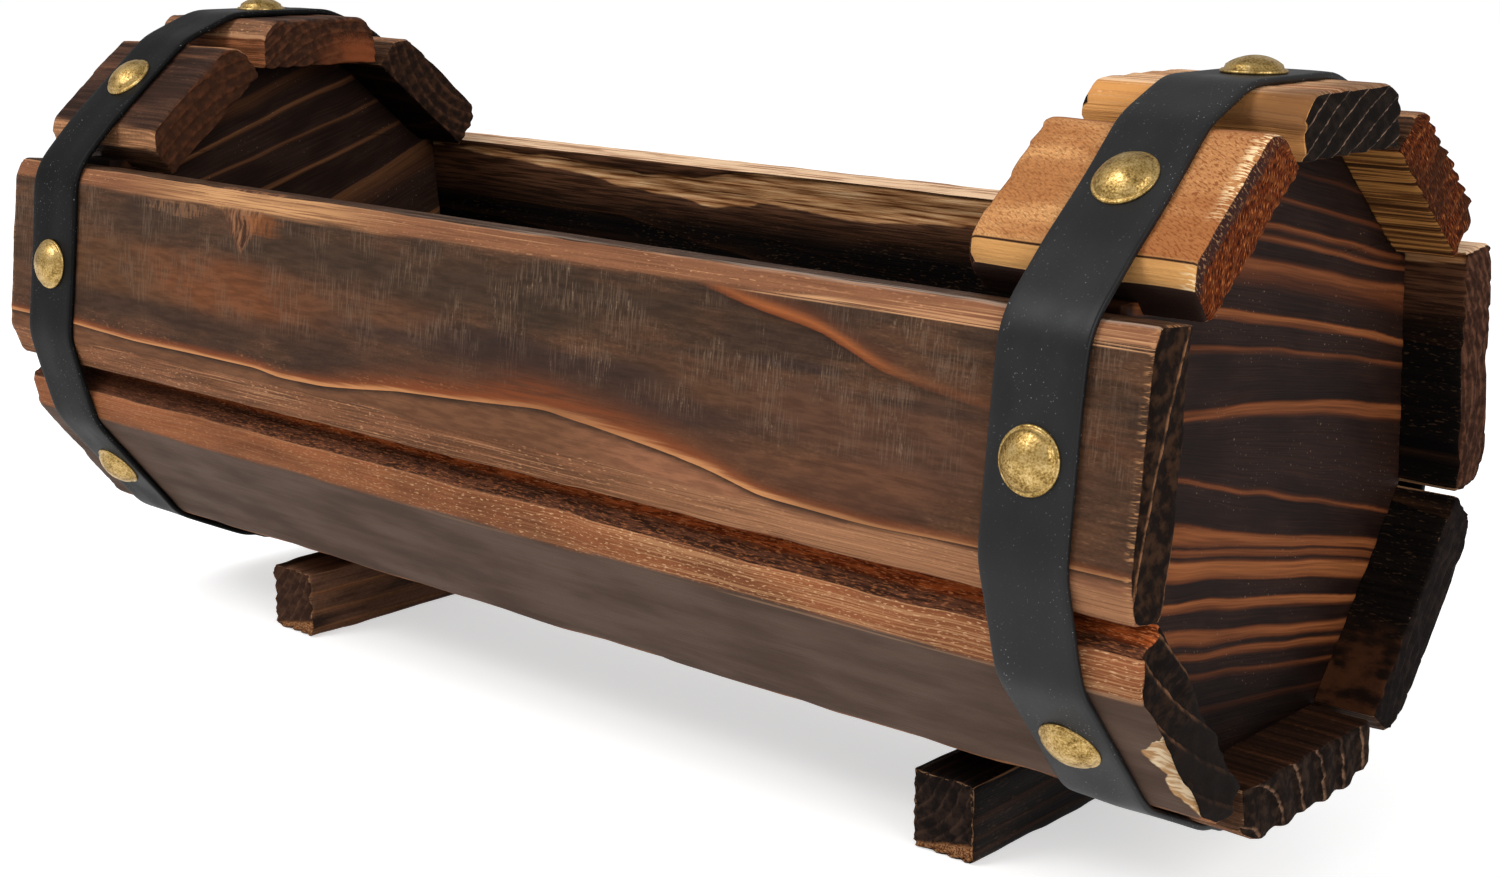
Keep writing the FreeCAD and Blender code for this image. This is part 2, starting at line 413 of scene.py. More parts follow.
def patch(m, centre, size, rough=1, soft=0.15, cloud=None):
    """1 inside an oval on a stave's face, 0 outside, with a ragged or cloudy edge."""
    across = (m.x - centre[0]) / size[0]
    up = (m.along - centre[1]) / size[1]
    reach = m.math("SQRT", across * across + up * up) + rough * ((cloud or m.rub) - 0.5)
    return reach.spread(1 + soft, 1 - soft)


# Staves

def edge_steps(low, high, step, fine=(0.4, 1.0, 1.9)):
    """Places from low to high, closer together at both ends."""
    count = max(2, round((high - low - 2 * fine[-1]) / step))
    middle = np.linspace(low + fine[-1], high - fine[-1], count + 1)
    return np.concatenate([[low], low + np.array(fine[:-1]), middle, high - np.array(fine[-2::-1]), [high]])


# Corners inside the barrel are worn less, as a share of the others
inner_wear = 0.4

# In mm: radius of the worn corners and how much it varies, how deep fine grooves and long waves
# are in a stave's faces, how far worn edges and ragged ends reach, and what counts as far from an edge
corner_radius, corner_change = 1.7, 0.7
groove_depth, wave_depth = 0.12, 0.35
edge_reach, end_reach = 1.6, 2.0
far = 9.0


def pulled(gap, other_gap, radius):
    """How far a corner is worn back at a distance from each of the two faces that meet there."""
    share = np.clip(1 - gap / radius, 0, 1) * np.clip(1 - other_gap / radius, 0, 1)
    return 0.3 * radius * share


def ring_numbers(x, along, out, tree):
    """Growth ring number of a point: distance from the heart of the log over the ring width."""
    heart_along, heart_out, lean, width, bend, seed = tree
    spots = np.stack([x, along, out], -1)
    bent = bend * (noise(spots, (95, 40, 40), seed) + 0.3 * noise(spots, (31, 14, 14), seed + 1))
    reach = np.hypot(along - heart_along, out - heart_out - lean * x)
    return (reach + bent) / width


def stave(node, side, material, tree, steps, relief, bite, seed, shape):
    """A stave as a fine mesh: chamfers, worn corners, brushed ridges and ragged ends."""
    x_low, x_high = [corner[0] for corner in box_mm(node)]
    width, low_chamfer, high_chamfer = side_sizes(side)
    half = width / 2
    axes = [
        edge_steps(-half, half, steps[0]),
        edge_steps(0, 1, steps[1] / stave_thickness, (0.025, 0.06, 0.11)),
        edge_steps(x_low, x_high, steps[2]),
    ]
    (i, j, k), faces = block_faces([len(axis) for axis in axes])
    along, share, x = axes[0][i], axes[1][j], axes[2][k]
    spots = np.stack([x, along, share * stave_thickness], -1)

    # Outer face with chamfers whose edges wander a little along the stave
    wander = 1 + 0.13 * noise(spots, (38, 200, 200), seed) + 0.07 * noise(spots, (11, 200, 200), seed + 1)
    drop = np.zeros_like(along)
    bevel = np.zeros_like(along)
    for chamfer, sign in ((low_chamfer, -1), (high_chamfer, 1)):
        reach = sign * along - (half - chamfer[0] * wander)
        soft = 0.5 * (reach + np.sqrt(reach * reach + 0.8))
        drop += soft * chamfer[1] / chamfer[0]
        bevel = np.maximum(bevel, soft_step(reach, -0.3, 0.9))
    outer = stave_thickness - drop
    out = share * outer

    # Growth rings stand up where the soft wood between them is burnt and brushed away
    ring = ring_numbers(x, along, out, tree)
    wave = ring % 1
    groove = soft_step(wave, 0.15, 0.75) * (1 - soft_step(wave, 0.9, 1.0))
    sink = relief * groove + groove_depth * noise(spots, (26, 1.6, 1.6), seed + 2)
    is_outer, is_inner = j == j.max(), j == 0
    is_low, is_high = i == 0, i == i.max()
    is_cut = (k == 0) | (k == k.max())
    along = along + sink * is_low - sink * is_high
    out = out - sink * is_outer + sink * is_inner
    out += wave_depth * noise(spots, (140, 60, 400), seed + 3) * is_outer

    # Worn corners
    gap_side = half - np.abs(spots[:, 1])
    gap_outer = outer - share * outer
    gap_inner = share * outer
    gap_end = np.minimum(x - x_low, x_high - x)
    radius = corner_radius + corner_change * noise(spots, (9, 9, 9), seed + 4)
    for gap, wear in ((gap_outer, 1), (gap_inner, inner_wear), (gap_end, 1)):
        along = along - np.sign(spots[:, 1]) * wear * pulled(gap_side, gap, radius)
    face_gap = np.minimum(gap_outer, gap_inner)
    inward = np.where(gap_outer < gap_inner, -1, inner_wear)
    out = out + inward * (pulled(face_gap, gap_side, radius) + pulled(face_gap, gap_end, radius * 1.3))
    end_pull = pulled(gap_end, face_gap, radius) + pulled(gap_end, gap_side, radius)

    # Ragged ends: the soft wood is worn back further than the rings
    ragged = 1.2 * groove + 0.2 * (1 + noise(spots, (6, 2.2, 2.2), seed + 5))
    ragged += 0.5 * soft_step(noise(spots, (9, 7, 5), seed + 6), 0.15, 0.7)
    end_pull += bite * ragged * np.exp(-gap_end / end_reach)
    x = x + np.where(x < (x_low + x_high) / 2, 1, -1) * end_pull

    # How near a point is to the closest edge of a face that it lies on
    low_fold, high_fold = spots[:, 1] + half - low_chamfer[0], spots[:, 1] - half + high_chamfer[0]
    near = [
        np.where(is_outer, 1 + np.minimum(np.abs(low_fold), np.abs(high_fold)), far),
        np.where(is_outer | is_inner, gap_side, far),
        np.where(is_low | is_high, face_gap, far),
        np.where(is_cut, far, gap_end + 0.4),
    ]
    marks = {
        "grain": spots + (0, 211.0 * seed, 97.0 * seed),
        "place": spots,
        "ring": ring,
        "worn": np.exp(-np.minimum.reduce(near) / edge_reach),
        "bevel": bevel * is_outer,
        "inside": is_inner,
        "flank": (is_low | is_high) & ~is_outer & ~is_inner,
        "cut": is_cut,
    }
    if shape:
        out = out + shape(spots, is_outer, marks)
    make_piece("worn_", node, place(side, x, along, out), faces, material, marks)


# Sharp lower edges of the two light streaks on the front stave: (x, along)
low_streak = [(-232, -19), (-193, -19), (-156, -20.3), (-120, -20), (-87, -20), (-77, -21.3), (-54, -20.8),
              (-36, -19), (-20, -17.2), (10, -15.4), (30, -13.9), (42, -13.1), (50, -14), (64, -15),
              (87, -17.2), (104, -19.4), (121, -23), (156, -24.1), (187, -23.2), (232, -23)]
high_streak = [(60, 34), (98, 27.6), (116, 24), (135, 21.6), (143, 19), (156, 14.2), (165, 12.4), (185, 9.7),
               (232, 4)]

# Upper and lower edge of the torn strip inside the back stave: (x, along)
torn_top = [(-232, -34), (-185, -33), (-130, -31.4), (-95, -29.5), (-75, -29.5), (-45, -31), (-20, -36),
            (232, -36)]
torn_foot = [(-232, -33), (-185, -30.5), (-130, -28), (-110, -26.5), (-95, -24.2), (-60, -22), (-45, -19.5),
             (-20, -23.5), (5, -21.2), (30, -22.2), (60, -23.6), (110, -26), (232, -31)]


def height_over(streak, spots, soft=3.2):
    """How far a point stands over a streak's edge, with the streak's corners rounded."""
    steps = np.linspace(-half_length, half_length, 465)
    line = np.interp(steps, *zip(*streak))
    kernel = np.exp(-0.5 * (np.arange(-9, 10) / soft) ** 2)
    line = np.convolve(np.pad(line, 9, "edge"), kernel / kernel.sum(), "valid")
    return spots[:, 1] - np.interp(spots[:, 0], steps, line)


def front_shape(spots, outer, marks):
    """Marks the front stave's streaks, lifts their hard edges and dents the knot."""
    lift = 0
    for mark, streak in (("low_streak", low_streak), ("high_streak", high_streak)):
        over = height_over(streak, spots)
        marks[mark] = over
        lift = lift + 0.35 * soft_step(over, -0.8, 0.4) * np.exp(-np.maximum(over, 0) / 6)
    marks["low_glow"] = marks["low_streak"] / np.interp(spots[:, 0], *glow_reach)
    reach = np.hypot((spots[:, 0] - knot_place[0]) / 6, (spots[:, 1] - knot_place[1]) / 7)
    dent = 0.6 * np.sin(np.clip(reach, 0, 1.5) * 5) * soft_step(1.3 - reach, 0, 0.7)
    return (lift - dent) * outer


def back_shape(spots, outer, marks):
    """Tears a strip out of the back stave's inner face under the rim."""
    rough = 0.9 * noise(spots, (13, 4, 30), 71) + 0.5 * noise(spots, (5, 2, 30), 72)
    marks["torn"] = rough + np.minimum(height_over(torn_top, spots, 2), -height_over(torn_foot, spots, 2))
    depth = soft_step(marks["torn"], -0.4, 1) * (1.3 + 0.9 * noise(spots, (30, 1.4, 30), 73))
    return depth * (spots[:, 2] < 0.01)


def chipped_shape(spots, outer, marks):
    """Breaks a chip off the lower front stave's right end, down to raw wood."""
    rough = noise(spots, (3, 3, 5), 75) + 0.6 * noise(spots, (1.6, 1.6, 5), 76)
    marks["chip"] = np.where(outer, spots[:, 0] + rough - np.interp(spots[:, 1], *chip_edge), -2)
    return -1.6 * soft_step(marks["chip"], -0.3, 3) * outer


# Where the chip starts on the lower front stave: x at places along
chip_edge = ((-34, -25, -18, -14, -6, 0, 2, 9, 13), (236, 232, 229, 225.5, 226.5, 223.5, 222, 229, 236))

# How far the glow reaches over the low streak, along the front stave
glow_reach = ((-232, -70, -30, 10, 45, 100, 130, 232), (0.3, 0.34, 0.75, 0.95, 1, 0.85, 0.5, 0.4))

# Middle of the front stave's knot: (x, along)
knot_place = (-98.5, 22)

# Clouds of tone on the front stave's face: place (x, along), half length and height, tone, share
front_clouds = [
    ((-165, 3), (46, 11), (94, 63, 42), 0.85),
    ((-100, 3), (42, 9.5), (112, 67, 41), 0.95),
    ((-40, 5), (34, 8), (94, 62, 43), 0.75),
    ((110, 1), (46, 8), (88, 60, 43), 0.7),
    ((165, -2), (46, 11), (90, 61, 46), 0.7),
    ((140, -14), (40, 5), (108, 70, 50), 0.6),
    ((-150, 20.5), (52, 5.5), (62, 46, 36), 0.75),
    ((-60, 19), (62, 7.5), (58, 44, 34), 0.85),
    ((30, 18), (66, 8.5), (60, 46, 36), 0.85),
    ((-160, -9.5), (66, 3.6), (60, 43, 34), 0.8),
    ((-70, -7.5), (48, 3), (66, 46, 36), 0.55),
    ((-18, -1.5), (34, 3), (56, 42, 37), 0.7),
    ((40, 1), (44, 4), (50, 38, 34), 0.9),
    ((98, -6), (34, 4.2), (60, 43, 38), 0.7),
    ((133, 11.5), (15, 1.3), (52, 41, 38), 0.7),
    ((168, 7), (26, 1.4), (56, 42, 37), 0.5),
]


def front_layers(m):
    """The front stave's own marks: clouds, saw marks, two orange streaks with sharp lower edges, a knot."""
    x, along, strand, blotch = m.x, m.along, m.strand, m.blotch
    skin = m.off(m.cut, m.inside)
    face = skin * m.off(m.bevel)
    over_low, over_high = m.mark("low_streak"), m.mark("high_streak")
    stretch = x.span(-half_length, half_length)
    shadow, pale, orange, rust, dark = (44, 31, 25), (200, 138, 90), (124, 65, 36), (92, 54, 37), (62, 43, 35)
    for centre, size, shade, share in front_clouds:
        cloud = patch(m, centre, size, 1.6, 0.5, blotch)
        m.lay(cloud * face * strand.spread(0.2, 0.6, 0.7 * share, share), shade)
    m.lay(0.85 * face * over_low.spread(0, -2.5), x.tones(40, 90, (114, 76, 53), (150, 100, 72)))
    m.lay(face, m.noise((8, 1.5, 1.5), 4, 69).spread(0.34, 0.66, 0.8, 1.14), "MULTIPLY")

    # Saw marks: fine lines across the grain, and pale ticks in clusters
    cluster = along.spread(-12, -2) * face * m.noise((16, 14, 14), 1, 8).spread(0.4, 0.6)
    m.lay(cluster * m.noise((0.45, 7, 7), 2, 4).spread(0.5, 0.62, 0, 0.5), (110, 88, 72))
    tick = m.noise((0.5, 4, 4), 1, 5).spread(0.64, 0.72) * m.grit.spread(0.4, 0.6, 0.2, 0.6)
    middle = stretch.curve((0.1, 0.35), (0.42, 0.25), (0.55, 1), (0.82, 1), (0.95, 0.3))
    m.lay(tick * cluster * middle, (144, 118, 96))

    # Low streak: a glow that fades upward from a pale, sharp lower edge
    ragged = 2.2 * (m.rub - 0.5)
    stops = [(0, orange, 0.95), (0.2, orange, 0.9), (0.36, rust, 0.85), (0.55, dark, 0.8), (0.75, dark, 0.45),
             (1, dark, 0)]
    glow, share = m.ramp((m.mark("low_glow") + 7 * (blotch - 0.5) + ragged).span(0, 22), stops)
    strength = stretch.curve((0, 0.5), (0.38, 0.6), (0.47, 0.75), (0.56, 0.95), (0.66, 0.85), (0.76, 0.35),
                             (1, 0.15))
    share = share * strength * face * over_low.spread(-0.15, 0.15)
    m.lay(share * m.rub.spread(0.38, 0.58, 0.45, 1), glow)
    fleck = m.noise((2.2, 0.8, 0.8), 2, 41).spread(0.58, 0.7) * blotch.spread(0.4, 0.6, 0, 0.8)
    m.lay(fleck * over_low.between(0, 4.5, 1.2) * x.spread(40, -10) * face, (150, 98, 64))
    wide = stretch.curve((0, 0.35), (0.3, 0.5), (0.46, 0.5), (0.58, 0.6), (0.68, 1), (0.76, 0.6), (1, 0.25))
    band = over_low / (wide * over_low.spread(0, 0.1, 0, 2.4) + 0.4)
    band = ragged * band.spread(0, 0.6, 0.2, 1.1) + band
    stops = [(0, shadow, 0), (0.36, shadow, 0.4), (0.47, shadow, 0.9), (0.5, pale, 1), (0.57, pale, 0.85),
             (0.7, lighter(orange, 1.4), 0.4), (0.9, orange, 0)]
    edge, share = m.ramp(band.span(-2.5, 2.5), stops)
    strength = stretch.curve((0, 0.9), (0.42, 0.95), (0.52, 0.75), (0.6, 0.4), (0.68, 0.8), (0.76, 1),
                             (0.8, 0.6), (1, 0.5))
    m.lay(share * strength * skin, edge)

    # High streak
    stops = [(0, shadow, 0), (0.14, shadow, 0.3), (0.2, shadow, 0.85), (0.22, orange, 0.9),
             (0.3, (158, 90, 50), 1), (0.42, rust, 0.8), (0.6, dark, 0.4), (1, dark, 0)]
    high, share = m.ramp((0.6 * ragged + over_high).span(-3.6, 13.2), stops)
    strength = x.span(60, half_length)
    strength = strength.curve((0.2, 0), (0.25, 0.6), (0.35, 1), (0.52, 0.85), (0.62, 0.25), (1, 0.08))
    m.lay(share * strength * face, high)

    # Raw wood along the rim: a wedge at the right, a bright stretch at the left, a grey line on its edge
    lines = m.noise((70, 0.5, 0.5), 2, 33).spread(0.42, 0.56) * strand.spread(0.25, 0.45)
    wedge = (4.5 * x.spread(96, 190) + 28 - along).spread(-0.5, 0.4)
    m.lay(wedge * along.spread(27.9, 28.5) * x.spread(96, 120) * skin * lines, (206, 154, 110))
    high = m.bevel * along.spread(0, 5)
    fine = m.noise((40, 0.5, 0.5), 3, 67)
    m.lay(high * fine.spread(0.4, 0.6, 0.25, 0.85), (132, 86, 60))
    raw = high * x.between(-142, -50, 30) * strand.spread(0.3, 0.5, 0.4, 1)
    m.lay(raw * fine.spread(0.4, 0.54, 0.2, 0.95), (200, 150, 102))
    rim = along.spread(33.5, 34.3) * m.out.spread(12.8, 13.6) * strand.spread(0.48, 0.6)
    m.lay(0.6 * rim * x.spread(-60, 40) * m.off(m.cut), (160, 142, 128))
    low = m.bevel * along.spread(0, -5) * x.spread(40, 120, 0, 0.6)
    m.lay(low * fine.spread(0.38, 0.54, 0.3, 1), (190, 136, 98))

    # Knot: a wedge of light fibres with a dark heart and an orange side
    fibres = m.noise((1.1, 5, 5), 2, 51)
    above = face * m.out.spread(10, 12)
    reach = m.math("ABSOLUTE", x - knot_place[0]) - 0.8 * (along - 14) + 9 * (fibres - 0.5)
    m.lay(0.8 * reach.spread(1.2, -1.2) * above, fibres.tones(0.4, 0.64, (80, 52, 38), (150, 104, 73)))
    side = patch(m, (knot_place[0] + 10, knot_place[1] + 2.4), (8.5, 3), 2.6, 0.6)
    m.lay(side * above * fibres.spread(0.3, 0.6, 0.2, 0.6), (140, 82, 44))
    m.lay(0.85 * patch(m, (knot_place[0] + 0.5, knot_place[1] - 1), (1.1, 5), 1.4), (58, 36, 27))
    flake = patch(m, (knot_place[0] - 34, 25.5), (16, 2.4), 2.4)
    m.lay(0.4 * flake * fibres.spread(0.44, 0.6) * above, (150, 108, 78))

    # Pale splinters at the cut ends
    splinter = m.noise((3.6, 0.6, 0.6), 1, 61).spread(0.5, 0.6) * strand.spread(0.4, 0.5)
    m.lay(0.7 * splinter * skin * m.math("ABSOLUTE", x).spread(228.5, 231), (182, 132, 90))


def lower_front_layers(m):
    """Smooth grey-brown face, rusty fibres on the upper side face, painted brighter far into the gap as
    painted light, and the raw chip.
    """
    x, along, blotch = m.x, m.along, m.blotch
    skin = m.off(m.cut, m.flank)
    face = m.off(m.bevel, m.cut, m.flank) * m.out.spread(12, 16)
    m.lay(0.85 * face, blotch.tones(0.35, 0.65, (84, 66, 56), (99, 79, 67)))

    # Rusty fibres in the gap under the front stave, darker at the left; far into the gap they are painted
    # light: brighter orange and paler hair against the gap's shade
    tangle = m.noise((7, 1, 1), 4, 13)
    hair = m.noise((5, 0.5, 0.5), 3, 43, 12).spread(0.54, 0.64)
    # Painted light: 1 far into the gap, where the fibres are painted brighter against its shade
    deep_painted_light = (m.out - 0.014 * x + 7 * (tangle - 0.5)).spread(8, 5)
    rust = tangle.tones(0.38, 0.62, (44, 24, 15), (96, 58, 40))
    rust = m.mix(deep_painted_light, rust, tangle.tones(0.38, 0.62, (104, 44, 17), (196, 98, 46)))
    rust = m.mix(hair * deep_painted_light.spread(0, 1, 0.3, 0.85), rust, (224, 138, 84))
    rust = m.mix(x.spread(-70, -170, 0, 0.6), rust, (62, 34, 21))
    m.lay(0.92 * m.flank * along.spread(0, 5), rust)

    # Orange in the chamfer, with dark and light lines along the grain
    chamfer = m.bevel * along.spread(0, 5)
    m.lay(0.7 * chamfer, blotch.tones(0.35, 0.65, (104, 58, 36), (146, 84, 52)))
    lines = m.noise((60, 0.45, 0.45), 1, 47).spread(0.5, 0.6)
    m.lay(0.45 * chamfer * lines * x.spread(10, 80, 0.2, 1), (206, 156, 110))
    dash = m.noise((2, 0.5, 0.5), 1, 63).spread(0.61, 0.68)
    m.lay(dash * chamfer * x.spread(-140, 60, 0.12, 0.75), (216, 172, 128))
    line = along.between(23.4, 24.4, 0.3) * skin * m.strand.spread(0.4, 0.52)
    m.lay(0.5 * line * x.spread(-60, 60), (170, 132, 102))

    # The end is black but for its upper part; raw wood in the chip
    m.lay(0.85 * m.cut * (24 * (blotch - 0.5) + along).spread(16, -4), (26, 21, 19))
    raw = m.noise((5, 1, 1), 3, 49, 35).tones(0.4, 0.62, (190, 146, 100), (240, 214, 176))
    m.lay(m.mark("chip").spread(-0.2, 0.4) * skin, raw)


def back_layers(m):
    """Golden torn strip inside the back stave under a paler rim."""
    thread = m.noise((24, 1, 1), 3, 17)
    stops = [(0.36, (92, 52, 24)), (0.46, (150, 104, 66)), (0.6, (190, 144, 100)), (0.72, (214, 178, 136))]
    low = 0.8 * m.inside * m.along.spread(-10, -24)
    m.lay(low, thread.tones(0.4, 0.6, (56, 34, 22), (96, 62, 42)))
    m.lay(m.mark("torn").spread(-0.2, 0.6) * m.inside, m.ramp(thread, stops)[0])
    pale = thread.tones(0.38, 0.54, (168, 122, 90), (240, 202, 164))
    m.lay(0.95 * m.flank * m.along.spread(0, -5), pale)


def hairy_end(m, lean):
    """Fine light fibres across the rusty arcs of a cut end, leaning by the given angle."""
    hair = m.noise((1, 1.9, 0.4), 3, 57, vector=m.turned(lean, "X_AXIS"))
    tuft = hair.tones(0.38, 0.62, (36, 12, 5), (112, 50, 21))
    m.lay(0.92 * m.cut, m.mix(hair.spread(0.58, 0.72, 0, 0.9), tuft, (206, 132, 76)))
    m.lay(0.3 * m.cut * m.ridge, (160, 90, 42))


def bristly_layers(m):
    """Upper back stave at the right: dark and light lines on its inner face, a hairy end."""
    lines = m.noise((60, 0.9, 0.9), 2, 77)
    m.lay(m.inside * lines.spread(0.5, 0.6, 0, 0.8), (190, 132, 70))
    m.lay(m.inside * lines.spread(0.46, 0.38, 0, 0.8), (50, 28, 13))
    hairy_end(m, 38)
    m.lay(m.cut * m.blotch.spread(0.35, 0.6, 0.2, 0.75), (46, 27, 17))


def golden_layers(m):
    """Golden stave: dark pores, a burnt low chamfer with a crack at its fold, a rust-red, torn end."""
    x, along, out, blotch = m.x, m.along, m.out, m.blotch
    skin = m.off(m.cut, m.flank)
    face = skin * m.off(m.bevel)
    near_end = x.spread(205, 226).spread(0, 1, 0.5, 0.85)
    m.lay(m.noise((1.7, 0.5, 0.5), 1, 19, 28).spread(0.5, 0.64) * face * near_end, (116, 62, 30))
    glint = m.noise((0.9, 0.5, 0.5), 1, 23, 28).spread(0.6, 0.7)
    m.lay(glint * face * blotch.spread(0.4, 0.6, 0.1, 0.6), (238, 194, 140))
    m.lay(0.45 * along.spread(15, 22) * skin, (140, 82, 54))
    m.lay(face * x.spread(186, 215, 0, 0.42), (150, 86, 46))
    low = along.spread(0, -5)
    burnt = (9 * (blotch - 0.5) + out).tones(13.4, 12, (214, 158, 94), (44, 28, 24))
    m.lay(0.85 * low * m.bevel, burnt)
    fold = crown_width / 2 - crown_chamfer[0]
    crack = along.between(-fold - 0.6, -fold - 0.1, 0.15) * m.strand.spread(0.3, 0.4) * skin
    m.lay(crack, (52, 30, 18))
    m.lay(m.flank * low, (44, 30, 25))

    # Cut end: hairy, singed near the outer face where pale splinters stand
    hairy_end(m, -38)
    rough = 8 * (m.grit - 0.5) + out
    m.lay(m.cut * rough.spread(11.5, 13.6) * along.spread(20, 8, 0.5, 0.92), (50, 33, 31))
    spike = m.noise((1, 0.6, 1.6), 2, 71).spread(0.55, 0.66)
    m.lay(0.4 * spike * m.cut * out.spread(12, 14.5), (206, 158, 108))
    splinter = m.noise((3.6, 0.5, 0.5), 1, 61).spread(0.5, 0.58)
    m.lay(splinter * skin * x.spread(226, 230) * blotch.spread(0.36, 0.5), (246, 216, 168))


def singed_layers(m):
    """Top stave at the right: pale lines on its face, a golden front side, burnt towards its right end."""
    side = m.off(m.cut)
    lines = m.noise((70, 0.8, 0.8), 2, 65)
    above = side * m.out.spread(10, 13) * m.off(m.bevel)
    m.lay(above * lines.spread(0.5, 0.62, 0, 0.8), (244, 206, 164))
    m.lay(above * lines.spread(0.42, 0.34, 0, 0.7), (84, 54, 44))
    front = m.math("MAXIMUM", m.flank, m.bevel) * m.along.spread(0, -5)
    m.lay(front * lines.spread(0.36, 0.56, 0.45, 0.95), (212, 150, 86))
    m.lay(0.75 * side * (60 * (m.blotch - 0.5) + m.x).spread(208, 228), (84, 52, 34))


def ember_layers(m):
    """Top stave at the left: an orange patch on the far half of its inner end."""
    glowing = (26 * (m.blotch - 0.5) + m.along).spread(-4, 14)
    low = (9 * (m.grit - 0.5) + m.out).spread(13, 5)
    m.lay(0.75 * glowing * low * m.cut * m.x.spread(-200, -190), (150, 80, 46))


def rusty_layers(m):
    """Lower back stave: brown and rust near the bottom on its inner face."""
    rough = 26 * (m.blotch - 0.5) + m.along
    brown = m.noise((9, 5, 5), 4, 27).tones(0.38, 0.62, (26, 15, 10), (70, 40, 23))
    m.lay(m.inside * rough.spread(4, 20), brown)


# End boards

def section_corner(side):
    """Where the inner faces of a side and the next one meet, as (y, z)."""
    next_side = (side + 1) % len(side_names)
    reach = (centres[next_side] - centres[side]).dot(outs[next_side]) / alongs[side].dot(outs[next_side])
    return (centres[side] + alongs[side] * reach)[1:]


board_corners = np.array([section_corner(side) for side in (BOTTOM, LOWER_FRONT, UPPER_FRONT)])


# The lip of an end board over a long stave's rim: how far out it reaches, how far below the
# rim it starts and its height
lip_reach, lip_sink, lip_height = 3.0, 1.0, 3.4


def board_edge():
    """Half the outline of an end board as (half width, z), with a lip over the long staves' rims."""
    bottom, lower, upper = board_corners
    rim = place(FRONT, 0, stave_width / 2 - lip_sink, 0)[1:]
    under = (-rim[0] + lip_reach, rim[1] + 0.1)
    lip = (under[0], rim[1] + lip_height)
    slope = alongs[UPPER_FRONT][1] / alongs[UPPER_FRONT][2]
    inside = (-upper[0] - (lip[1] - upper[1]) * slope, lip[1] + 0.1)
    corners = [(-y, z) for y, z in (bottom, lower, rim)]
    return np.array(corners + [under, lip, inside, (-upper[0], upper[1])])


def board_half_width(z):
    """Half the width of an end board at a height."""
    half, level = board_edge().T
    return np.interp(z, level, half)


# Light growth lines of the end boards: height of the upper edge at three places across the
# board, thickness, strength from 0 to 1, and how far the line fades away below it
line_places = (-40.0, 0.0, 60.0)
right_lines = [
    (58, 52, 42, 1.2, 0.3, 1), (67.8, 60.3, 49.2, 1.5, 0.55, 0.6), (73, 66.4, 54, 2.1, 0.75, 0.6),
    (79.2, 70.9, 59, 2.6, 0.85, 0.8), (86.6, 79.2, 65, 2.5, 0.95, 0.8), (97.8, 89.2, 75.4, 4.6, 1, 0.8),
    (100.6, 92.4, 78.4, 1.9, 0.7, 0.4), (106.4, 96.2, 82, 3, 0.9, 0.6), (118.2, 107.6, 91.4, 1.4, 0.7, 0.4),
    (135.4, 131.1, 121, 3, 0.8, 0.8), (151.6, 144.9, 133.4, 1.1, 0.55, 0.8),
    (161.3, 153.7, 140.2, 2.1, 0.9, 0.5), (175.4, 167.1, 154.6, 1.9, 0.65, 6),
    (182.4, 173.3, 160, 1.5, 0.75, 0.5), (185.4, 176.4, 163.3, 1.4, 0.7, 0.5),
    (191.4, 183.2, 169, 0.9, 0.5, 0.5), (199.4, 191, 177.4, 0.8, 0.3, 0.5),
]
left_lines = [
    (50, 62, 80, 1.4, 0.7, 1), (68, 80, 98, 2, 0.8, 1), (84, 96, 114, 1.2, 0.6, 1),
    (100, 112, 131, 1.8, 0.8, 1), (122, 136, 160, 2.2, 0.6, 9), (141.6, 153.6, 172, 1.4, 0.8, 0.8),
    (156, 167, 184, 1.2, 0.65, 0.8), (165.5, 179, 198, 1.4, 0.8, 0.8), (176, 190, 209, 1.6, 0.3, 5),
]

# Lowest and highest level that the boards' colours follow
level_range = (40, 215)

# Lines in one colour ramp, which holds 32 stops
ramp_lines = 7


def line_levels(lines, y, z):
    """Level of a point among the lines: its height where the line that it lies on crosses the middle."""
    lines = np.array(lines)
    curves = np.stack([np.polyfit(line_places, line[:3], 2) for line in lines[np.argsort(lines[:, 1])]])
    levels = np.sort(lines[:, 1])
    heights = curves[:, :1] * y ** 2 + curves[:, 1:2] * y + curves[:, 2:]
    level = np.empty_like(z)
    for low in range(len(levels) - 1):
        here = (z >= heights[low]) | (low == 0)
        share = (z - heights[low]) / (heights[low + 1] - heights[low])
        level = np.where(here, levels[low] + share * (levels[low + 1] - levels[low]), level)
    return level


def line_strength(level, lines):
    """Strength of the light lines at a level."""
    low, high = level_range
    stops = [(0, 0)]
    for _, top, _, thick, strength, fade in lines:
        under = 0.35 if fade > 2 else 0
        for height, value in ((top - thick - fade, 0), (top - thick, under + 0.75 * strength * (1 - under)),
                              (top - 0.25, strength), (top + 0.15, 0)):
            stops.append(((height - low) / (high - low), value))
    return level.span(low, high).curve(*stops)


